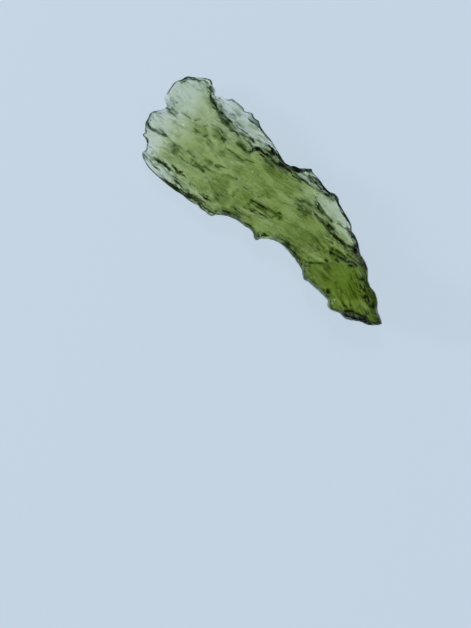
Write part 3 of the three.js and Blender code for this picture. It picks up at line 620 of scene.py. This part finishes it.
# ------------------------------------------------------------------ surfaces
def thickness(x, y):
    """Thickness, and how much of it the steps took away: body thickness along the stone, mixed towards the
    block past its slanted facet, towards each step's thickness past its ragged line, and towards that of
    the thin stretches of rim."""
    facet = ease((x - along(BLOCK_FACET, y)) / BLOCK_RISE + BLOCK_LEAD)
    ledge = ramp((y - along(BLOCK_LEDGE, x)) / LEDGE_WIDTH)
    block = BLOCK_THICKNESS * along(BLOCK_TAPER, x, EVENED)
    body = along(BODY_THICKNESS, x, EVENED)
    full = mix(body, block, facet)
    thick = mix(full, np.minimum(full, body), ledge)
    ragged = y + grain(GRAINS["step edge"], x, y)
    uneven = 1 + grain(GRAINS["step width"], x, y)
    for side, thin, width, taper, *line in STEPS:
        beside = ramp(side * (ragged - along(line, x)) / (width * uneven) + 0.5)
        within = ease((x - line[0][0]) / taper) * ease((line[-1][0] - x) / taper)
        thick = mix(thick, np.minimum(thick, thin), beside * within)
    for place, reach in THIN_RIM:
        thick = mix(thick, np.minimum(thick, CLEAR_THICKNESS), blob(x, y, place, (reach, reach)))
    return thick, full - thick


def creased(x, y, creases):
    """Depth and light lost along the creases: each is a V with painted shade, a dark core and a fainter
    skirt, ragged and broken by noise, and pinched out towards its ends. A ridge is a V turned over, with a
    painted highlight."""
    wx, wy = x + grain(GRAINS["crease x"], x, y), y + grain(GRAINS["crease y"], x, y)
    depth, loss = np.zeros(x.shape), np.zeros(x.shape)
    # The strength of the painted shade in the creases, broken by noise.
    broken_shade = CREASE_STRENGTH * share_of("crease", x, y)
    for half, dark, *line in creases:
        curve = smooth_curve(line, np.linspace(0, 1, CREASE_STEPS * len(line)))
        low, high = curve.min(0) - CREASE_NEAR * half, curve.max(0) + CREASE_NEAR * half
        near = (x > low[0]) & (x < high[0]) & (y > low[1]) & (y < high[1])
        far, where = line_distance(wx[near], wy[near], curve[:-1], np.diff(curve, axis=0))
        share = where / (len(curve) - 1)
        pinch = ease(share / PINCH_SHARE + PINCH_START) * ease((1 - share) / PINCH_SHARE + PINCH_START)
        across = far / (half * (0.5 + 0.5 * pinch))
        deep = math.copysign(CREASE_DEPTH + DEPTH_SHARE * half, dark)
        depth[near] += deep * pinch * np.clip(1 - across / CREASE_SPREAD, 0, 1)
        shade = bell(across) + SKIRT_SHADE * bell(across / SKIRT_WIDTH)
        strength = min(1, math.sqrt(FULL_HALF / half)) * broken_shade[near] if dark > 0 else 1
        loss[near] += dark * pinch * shade * strength
    return depth, loss


def etched(x, y, seed):
    """Depth and light lost in the finer flow relief: terraces between layers, where a slow noise is turned
    into stairs, grooves where a finer one crosses zero, dashes where a third one peaks, and specks. The
    light lost is painted shade on the risers and in the grooves and dashes."""
    s, t = flow_place(x, y)
    lively = liveliness(x, y)
    levels = grain(GRAINS["terraces"], s, t, seed)
    past = levels - np.floor(levels) - 0.5
    terrace = np.floor(levels) + ease(past / RISER_SHARE + 0.5) - 0.5
    groove = np.clip(1 - np.abs(grain(GRAINS["grooves"], s, t, seed)) / GROOVE_WIDTH, 0, 1)
    strength = share_of("grooves", s, t, seed)
    dash = grown(grain(GRAINS["dashes"], s, t, seed), DASH_GROWTH) * share_of("dashes", s, t, seed)
    specks = blob(x, y, SPECK_PLACE, SPECK_SIZE) * grain(GRAINS["specks"], x, y, seed)
    depth = TERRACE_DEPTH * terrace + GROOVE_DEPTH * groove * strength + DASH_DEPTH * dash
    riser = TERRACE_LOSS * bell(past / RISER_LINE)
    loss = (riser + GROOVE_LOSS * groove) * strength + DASH_LOSS * dash
    return lively * depth + SPECK_DEPTH * specks, lively * loss


def liveliness(x, y):
    """1 where the relief is strong, less over each calm patch."""
    calm = sum(share * blob(x, y, place, size, turn) for place, size, turn, share in CALM)
    return 1 - np.clip(calm, 0, CALM_MOST)


def patched(x, y, patches):
    """Light lost in the patches, with ragged borders: the sum of their bumps, each times its light lost. It
    is partly the glass's own tone, partly painted shade, and painted highlights where it is less than none.
    """
    wx, wy = x + grain(GRAINS["patch x"], x, y), y + grain(GRAINS["patch y"], x, y)
    return sum(lost * blob(wx, wy, place, size, turn) for place, size, turn, lost in patches)


def plan_grid():
    """Plan grid from notch to tip and from the wavy edge over the middle line to the flanged edge, and at
    each point its distance from the edge and the direction from the middle line to the edge."""
    share = np.linspace(0, 1, CELLS_ALONG + 1)
    wavy, flanged = smooth_curve(WAVY_EDGE, share), smooth_curve(FLANGED_EDGE, share)
    middle_x = along(MIDDLE_PACE, share)
    middle = np.stack([middle_x, along(MIDDLE_LINE, middle_x)], axis=1)
    across = np.linspace(-1, 1, 2 * CELLS_TO_EDGE + 1)
    out = 1 - (1 - np.abs(across)) ** RIM_CROWDING
    edge = np.where((across < 0)[None, :, None], wavy[:, None], flanged[:, None])
    plan = mix(middle[:, None], edge, out[None, :, None])
    outward = edge - middle[:, None]
    outward = outward / np.linalg.norm(outward, axis=-1, keepdims=True)
    loop = np.vstack([wavy, flanged[-2:0:-1]])
    x, y = plan[..., 0], plan[..., 1]
    inset, _ = line_distance(x, y, loop, np.roll(loop, -1, axis=0) - loop)
    inset[:, [0, -1]] = 0
    return x, y, inset, outward


def skins(x, y, inset, relief):
    """Heights of the upper skin and the underside, and the light lost in the relief of each, mostly painted
    shade and highlights with some of the glass's own tone. The underside is bowed and held above the floor,
    the upper skin lies a thickness above it, both curve to the rim between them by a wall and a bevel, and
    the relief is cut into each."""
    thick, thinned = thickness(x, y)
    off_line = y - along(MIDDLE_LINE, x)
    bowed = along(UNDERSIDE, x, EVENED) + UNDERSIDE_BOW * off_line**2 + UNDERSIDE_SHARE * thinned
    swell = ease(inset / SWELL_REACH) * grain(GRAINS["swell"], x, y)
    underside = np.maximum(bowed + UNDERSIDE_SWELL * swell, 0)
    crest = underside + thick + CREST_SWELL * swell
    rim = underside + (along(RIM_SHARE, thick) + grain(GRAINS["rim height"], x, y)) * thick
    bevel = 1 - (1 - np.clip(inset / along(BEVEL_REACH, thick), 0, 1)) ** along(BEVEL_POWER, thick)
    wall = 1 - (1 - np.clip(inset / WALL_WIDTH, 0, 1)) ** 2
    rounding = mix(bevel, wall, along(WALL_SHARE, thick))
    kept = ease(inset / RELIEF_FADE)
    deepest = RELIEF_MOST * thick
    heights, losses = [], []
    for up, outer, creases, patches, seed in (
        (1, crest, UPPER_CREASES, UPPER_PATCHES, UPPER_SEED),
        (-1, underside, LOWER_CREASES, LOWER_PATCHES, LOWER_SEED),
    ):
        crease_depth, crease_loss = creased(x, y, creases)
        etch_depth, etch_loss = etched(x, y, seed)
        depth = deepest * np.tanh(relief * (crease_depth + etch_depth) * kept / deepest)
        heights.append(np.maximum(mix(rim, outer, rounding) - up * depth, 0))
        losses.append(PLAIN_LOSS + crease_loss + etch_loss * kept + patched(x, y, patches))
    return heights, losses


def walled(points, inset, outward, relief):
    """The points near the edge moved inwards by the size of noise drawn out along the walls. Where it
    crosses nothing, a sharp crest is left standing between two grooves."""
    x, y, z = np.moveaxis(points, -1, 0)
    run = x + WALL_RUN * y
    ribs = sum(
        height * noise(run / length, z / width + slant * run, seed)
        for height, length, width, slant, seed in WALL_RIBS
    )
    shift = -relief * WALL_GROOVE * np.abs(ribs) * bell(inset / WALL_REACH)
    return points + np.dstack([outward * shift[..., None], 0 * z])


def grid_normals(points):
    """Unit normals of a grid of points: the cross product of its differences along and across."""
    n = np.cross(np.gradient(points, axis=0), np.gradient(points, axis=1))
    return n / np.maximum(np.linalg.norm(n, axis=-1, keepdims=True), 1e-12)


def edge_loss(x, y, inset):
    """Light lost at the rim: a band inside the edge, partly the broken rim's own darkness and partly
    painted shade, as dark and wide as listed, that comes and goes, and a fainter, broader band of painted
    shade on the bevels round the tip."""
    flanged = y > along(MIDDLE_LINE, x)
    dark, width = (
        np.where(flanged, *(np.interp(x, *np.array(rim)[:, [0, k]].T) for rim in (FLANGED_RIM, WAVY_RIM)))
        for k in (1, 2)
    )
    for place, reach in THIN_RIM + CLEAR_RIM:
        dark = dark * (1 - blob(x, y, place, (reach, reach)))
    wide = width * (1 + grain(GRAINS["rim width"], x, y))
    tip = share_of("tip", x, y) * grown(x, TIP_GROWTH) * bell(inset / TIP_REACH)
    return EDGE_LOSS * dark * share_of("rim", x, y) * bell(inset / wide) + TIP_LOSS * tip


def grid_faces(index):
    """The four-sided faces between neighbours in a grid of point numbers."""
    corners = [index[:-1, :-1], index[1:, :-1], index[1:, 1:], index[:-1, 1:]]
    return np.stack(corners, axis=-1).reshape(-1, 4)


def stone_mesh(relief):
    """The two skins as one closed shell: points, four-sided faces, and at each point the light lost, mostly
    painted shade and highlights, how deep the glass is, from 0 to 1, and the place along and across the
    flow with the liveliness."""
    x, y, inset, outward = plan_grid()
    outward = outward * grown(thickness(x, y)[0], WALL_GROWTH)[..., None]
    heights, losses = skins(x, y, inset, relief)
    thin, more = DEEP_GROWTH
    deep = np.maximum(np.clip((heights[0] - heights[1] - thin) / more, 0, 1), grown(x, DEEP_TIP))
    flow = np.stack([*flow_place(x, y), liveliness(x, y)], axis=-1).reshape(-1, 3)
    # Painted shade at the rim, partly the broken rim's own darkness, and on the bevels round the tip.
    broken_shade = edge_loss(x, y, inset)
    points, lost = [], []
    for height, loss in zip(heights, losses):
        skin = walled(np.stack([x, y, height], axis=-1), inset, outward, relief)
        steep = 1 - np.abs(grid_normals(skin)[..., 2])
        points.append(skin.reshape(-1, 3))
        # Painted shade on steep skin, added to the light lost with the rim's shade.
        lost.append((loss + SLOPE_LOSS * grown(steep, SLOPE_GROWTH) + broken_shade).ravel())

    # Both ends of the grid fold onto themselves, and the two skins share the rim.
    rows, columns = x.shape
    upper = np.arange(rows * columns).reshape(rows, columns)
    for row in (0, -1):
        upper[row, CELLS_TO_EDGE + 1:] = upper[row, :CELLS_TO_EDGE][::-1]
    lower = upper + rows * columns
    lower[:, 0], lower[:, -1] = upper[:, 0], upper[:, -1]
    for row in (0, -1):
        lower[row, -1] = lower[row, 0]
    faces = np.vstack([grid_faces(upper), grid_faces(lower)[:, ::-1]])
    used, index = np.unique(faces, return_inverse=True)
    own = {"lost": np.concatenate(lost), "deep": np.tile(deep.ravel(), 2), "flow": np.tile(flow, (2, 1))}
    return np.vstack(points)[used], index.reshape(-1, 4), {name: own[name][used] for name in own}


def floor_mesh():
    """A square floor, level within FLOOR_LEVEL of its middle and swept up to FLOOR_RISE at FLOOR_HALF."""
    side = np.linspace(-FLOOR_HALF, FLOOR_HALF, FLOOR_CELLS + 1)
    x, y = np.meshgrid(side, side, indexing="ij")
    z = FLOOR_RISE * grown(np.hypot(x, y), (FLOOR_LEVEL, FLOOR_HALF - FLOOR_LEVEL)) - FLOOR_GAP
    return np.stack([x, y, z], axis=-1).reshape(-1, 3), grid_faces(np.arange(x.size).reshape(x.shape))


def mesh_of(name, points, faces):
    """A mesh of four-sided faces, from whole arrays."""
    mesh = bpy.data.meshes.new(name)
    mesh.vertices.add(len(points))
    mesh.vertices.foreach_set("co", points.astype(np.float32).ravel())
    mesh.loops.add(faces.size)
    mesh.loops.foreach_set("vertex_index", faces.astype(np.int32).ravel())
    mesh.polygons.add(len(faces))
    mesh.polygons.foreach_set("loop_start", np.arange(0, faces.size, 4, dtype=np.int32))
    mesh.update(calc_edges=True)
    mesh.shade_smooth()
    return mesh


def add_object(name, data):
    """A new object in the scene, at the origin."""
    obj = bpy.data.objects.new(name, data)
    bpy.context.scene.collection.objects.link(obj)
    return obj


# ------------------------------------------------------------------ glass
class Shader:
    """Adds nodes to the tree of a material or a world, with values and links by socket name or number."""

    def __init__(self, owner):
        owner.use_nodes = True
        self.nodes, self.links = owner.node_tree.nodes, owner.node_tree.links
        self.nodes.clear()

    def add(self, kind, values=None, **settings):
        """A new node of a kind, with its settings and its inputs."""
        node = self.nodes.new("ShaderNode" + kind)
        for name, value in settings.items():
            setattr(node, name, value)
        for key, value in (values or {}).items():
            if isinstance(value, bpy.types.NodeSocket):
                self.links.new(value, node.inputs[key])
            else:
                node.inputs[key].default_value = value
        return node

    def math(self, operation, *values):
        """The outcome of a Math node."""
        return self.add("Math", dict(enumerate(values)), operation=operation).outputs[0]

    def mapped(self, value, low=0, high=1, first=0, last=1):
        """first where the value is low, last where it is high, straight between and held there."""
        ends = {"From Min": low, "From Max": high, "To Min": first, "To Max": last}
        return self.add("MapRange", {"Value": value, **ends}).outputs[0]

    def point_value(self, name, output="Fac"):
        """A value kept at the points of the mesh."""
        return self.add("Attribute", attribute_name=name).outputs[output]


def streaks(shader, flow, length, width, detail):
    """Noise drawn out along the flow: its length and width in millimetres, about 0.3 to 0.7."""
    stretched = shader.add("Mapping", {"Vector": flow, "Scale": (1 / length, 1 / width, 0)}).outputs[0]
    return shader.add("TexNoise", {"Vector": stretched, "Scale": 1, "Detail": detail}).outputs["Fac"]


def contours(shader, flow, length, width, spread):
    """Thin wavy lines: 1 where noise drawn out along the flow crosses its middle, 0 a spread away."""
    away = shader.math("ABSOLUTE", shader.math("SUBTRACT", streaks(shader, flow, length, width, 1), 0.5))
    return shader.mapped(away, high=spread, first=1, last=0)


def moldavite_glass(look):
    """Clear green glass: plain transmission, index and absorption. Its base colour is the tint to the power
    of the light lost: the point attribute lost, which is mostly painted shade and highlights, made ragged,
    and streaks, specks, lines and mottling along the point attribute flow, times its third number, which is
    how lively the relief is there."""
    material = bpy.data.materials.new("moldavite_glass")
    shader = Shader(material)
    flow = shader.point_value("flow", "Vector")
    lively = shader.add("SeparateXYZ", {"Vector": flow}).outputs["Z"]
    long_streaks, short_streaks = streaks(shader, flow, *LONG), streaks(shader, flow, *SHORT)
    streak, speck = shader.mapped(long_streaks, *STREAK_SPAN), shader.mapped(short_streaks, *SPECK_SPAN)
    lines = shader.math("MAXIMUM", *(contours(shader, flow, *kind) for kind in CONTOURS))
    lines = shader.math("MULTIPLY", lines, shader.mapped(streaks(shader, flow, *LINED), *LINED_SPAN))

    marks = shader.math("MULTIPLY_ADD", streak, look.streaks, shader.math("MULTIPLY", speck, look.specks))
    marks = shader.math("MULTIPLY_ADD", lines, look.lines, marks)
    mottled = shader.math("SUBTRACT", streaks(shader, flow, *MOTTLED), 0.5)
    marks = shader.math("MULTIPLY_ADD", mottled, look.mottling, marks)
    marks = shader.math("MULTIPLY", marks, lively)
    ragged = shader.math("MULTIPLY_ADD", streaks(shader, flow, *RAGGED), RAGGEDNESS, 1 - RAGGEDNESS / 2)
    loss = shader.math("MULTIPLY_ADD", shader.point_value("lost"), ragged, marks)
    loss = shader.math("MAXIMUM", loss, 0)
    deep = shader.point_value("deep")
    left = [
        shader.math("POWER", shader.mapped(deep, first=thin_share, last=deep_share), loss)
        for thin_share, deep_share in zip(look.crease_tint, look.deep_tint)
    ]
    tint = shader.add("CombineColor", dict(enumerate(left))).outputs[0]

    uneven = shader.math("MULTIPLY_ADD", short_streaks, SPECK_BUMP, long_streaks)
    uneven = shader.math("MULTIPLY_ADD", lines, LINE_BUMP, uneven)
    bumps = {"Strength": BUMP_STRENGTH, "Distance": BUMP_HEIGHT * MM, "Height": uneven}
    bump = shader.add("Bump", bumps).outputs[0]
    least, most = ROUGHNESS
    rough = shader.mapped(short_streaks, first=least, last=most)

    surface = shader.add("BsdfPrincipled", {
        "Base Color": tint, "Roughness": rough, "Normal": bump, "Transmission Weight": 1, "IOR": look.ior,
    })
    body = shader.add("VolumeAbsorption", {"Color": (*look.glass_colour, 1), "Density": look.glass_density})
    shader.add("OutputMaterial", {"Surface": surface.outputs[0], "Volume": body.outputs[0]})
    return material


# ------------------------------------------------------------------ settings
class MoldaviteStoneSettings(bpy.types.PropertyGroup):
    relief: FloatProperty(
        name="Relief", description="Depth of the etched relief, as a share of the natural one",
        default=1, min=0, max=2, subtype="FACTOR")
    glass_colour: FloatVectorProperty(
        name="Glass colour", description="Colour that the glass lets through",
        default=(0.6, 0.7, 0.09), min=0, max=1, subtype="COLOR")
    glass_density: FloatProperty(
        name="Glass density", description="Absorption in each metre of glass", default=700, min=0)
    # Tints left by the light lost, mostly painted shade, in thin and in deep glass.
    crease_tint: FloatVectorProperty(
        name="Crease tint", description="Light left after one unit of loss in thin glass",
        default=(0.135, 0.183, 0.127), min=0, max=1, subtype="COLOR")
    deep_tint: FloatVectorProperty(
        name="Deep tint", description="Light left after one unit of loss in thick glass",
        default=(0.115, 0.15, 0.012), min=0, max=1, subtype="COLOR")
    streaks: FloatProperty(
        name="Streaks", description="Light lost in the fine flow streaks",
        default=0.16, min=0, max=1, subtype="FACTOR")
    lines: FloatProperty(
        name="Lines", description="Light lost in the fine flow lines",
        default=0.4, min=0, max=2, subtype="FACTOR")
    mottling: FloatProperty(
        name="Mottling", description="Spread of the light lost in the broad mottling",
        default=0.6, min=0, max=2, subtype="FACTOR")
    specks: FloatProperty(
        name="Specks", description="Light lost in the short dark specks",
        default=0.12, min=0, max=1, subtype="FACTOR")
    ior: FloatProperty(
        name="Index of refraction", description="Refractive index of moldavite", default=1.49, min=1, max=2)


class MoldaviteStageSettings(bpy.types.PropertyGroup):
    floor_colour: FloatVectorProperty(
        name="Floor colour", description="Colour of the pale floor",
        default=(0.66, 0.78, 0.9), min=0, max=1, subtype="COLOR")
    floor_glow: FloatProperty(
        name="Floor glow", description="Share of the floor's light that it gives itself",
        default=0.72, min=0, max=1, subtype="FACTOR")
    light_power: FloatProperty(
        name="Light power", description="Power of the key light", default=0.12, min=0, unit="POWER")
    lens: FloatProperty(
        name="Lens", description="Focal length of the camera", default=100, min=20, unit="CAMERA")


# ------------------------------------------------------------------ operators
class MOLDAVITE_OT_stone(bpy.types.Operator):
    """Make the stone as one closed shell of green glass"""
    bl_idname = "moldavite.stone"
    bl_label = "Make stone"

    def execute(self, context):
        look = context.scene.moldavite_stone
        points, faces, own = stone_mesh(look.relief)
        points[:, :2] -= ORIGIN
        mesh = mesh_of("moldavite_stone", points * MM, faces)
        for name, values in own.items():
            kind, field = ("FLOAT_VECTOR", "vector") if values.ndim > 1 else ("FLOAT", "value")
            kept = mesh.attributes.new(name, kind, "POINT")
            kept.data.foreach_set(field, values.astype(np.float32).ravel())
        mesh.materials.append(moldavite_glass(look))
        stone = add_object("moldavite_stone", mesh)
        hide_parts("moldavite")
        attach(stone, "root")
        return {"FINISHED"}


class MOLDAVITE_OT_stage(bpy.types.Operator):
    """Make the pale floor, the soft studio light and the camera that looks down on the stone"""
    bl_idname = "moldavite.stage"
    bl_label = "Make stage"

    def execute(self, context):
        scene, look = context.scene, context.scene.moldavite_stage
        scene.view_settings.view_transform = "Standard"
        floor = add_object("floor", mesh_of("floor", *floor_mesh()))
        material = bpy.data.materials.new("floor")
        shader, colour = Shader(material), (*look.floor_colour, 1)
        surface = shader.add("BsdfPrincipled", {
            "Base Color": colour, "Roughness": FLOOR_ROUGHNESS, "Specular IOR Level": FLOOR_GLOSS,
            "Emission Color": colour, "Emission Strength": look.floor_glow,
        })
        shader.add("OutputMaterial", {"Surface": surface.outputs[0]})
        floor.data.materials.append(material)

        scene.world = bpy.data.worlds.new("studio")
        shader = Shader(scene.world)
        sky = shader.add("Background", {"Color": SKY_COLOUR, "Strength": SKY_STRENGTH})
        shader.add("OutputWorld", {"Surface": sky.outputs[0]})

        for name, place, share, width in LAMPS:
            lamp = bpy.data.lights.new(name, "AREA")
            lamp.shape = "DISK"
            lamp.size = width
            lamp.energy = share * look.light_power
            light = add_object(name, lamp)
            light.location = place
            light.rotation_euler = (-Vector(place)).to_track_quat("-Z", "Y").to_euler()

        lens = bpy.data.cameras.new("camera")
        lens.lens = look.lens
        lens.sensor_width = SENSOR_WIDTH
        camera = add_object("camera", lens)
        x, y, z = VIEW_POINT
        camera.location = (x, y, z + VIEW_LENGTH * look.lens / SENSOR_WIDTH)
        camera.rotation_euler = (0, 0, VIEW_TURN)
        scene.camera = camera
        return {"FINISHED"}


class MOLDAVITE_PT_panel(bpy.types.Panel):
    bl_label = "Moldavite"
    bl_idname = "MOLDAVITE_PT_panel"
    bl_space_type = "VIEW_3D"
    bl_region_type = "UI"
    bl_category = "Moldavite"

    def draw(self, context):
        for title, settings, action in (
            ("Stone", context.scene.moldavite_stone, MOLDAVITE_OT_stone),
            ("Stage", context.scene.moldavite_stage, MOLDAVITE_OT_stage),
        ):
            box = self.layout.box()
            box.label(text=title)
            for name in type(settings).__annotations__:
                box.prop(settings, name)
            box.operator(action.bl_idname)


CLASSES = (
    MoldaviteStoneSettings, MoldaviteStageSettings,
    MOLDAVITE_OT_stone, MOLDAVITE_OT_stage, MOLDAVITE_PT_panel,
)


def register():
    for item in CLASSES:
        bpy.utils.register_class(item)
    bpy.types.Scene.moldavite_stone = PointerProperty(type=MoldaviteStoneSettings)
    bpy.types.Scene.moldavite_stage = PointerProperty(type=MoldaviteStageSettings)


def unregister():
    del bpy.types.Scene.moldavite_stage
    del bpy.types.Scene.moldavite_stone
    for item in reversed(CLASSES):
        bpy.utils.unregister_class(item)


def main():
    register()
    bpy.ops.moldavite.stone()
    bpy.ops.moldavite.stage()


if __name__ == "__main__":
    main()
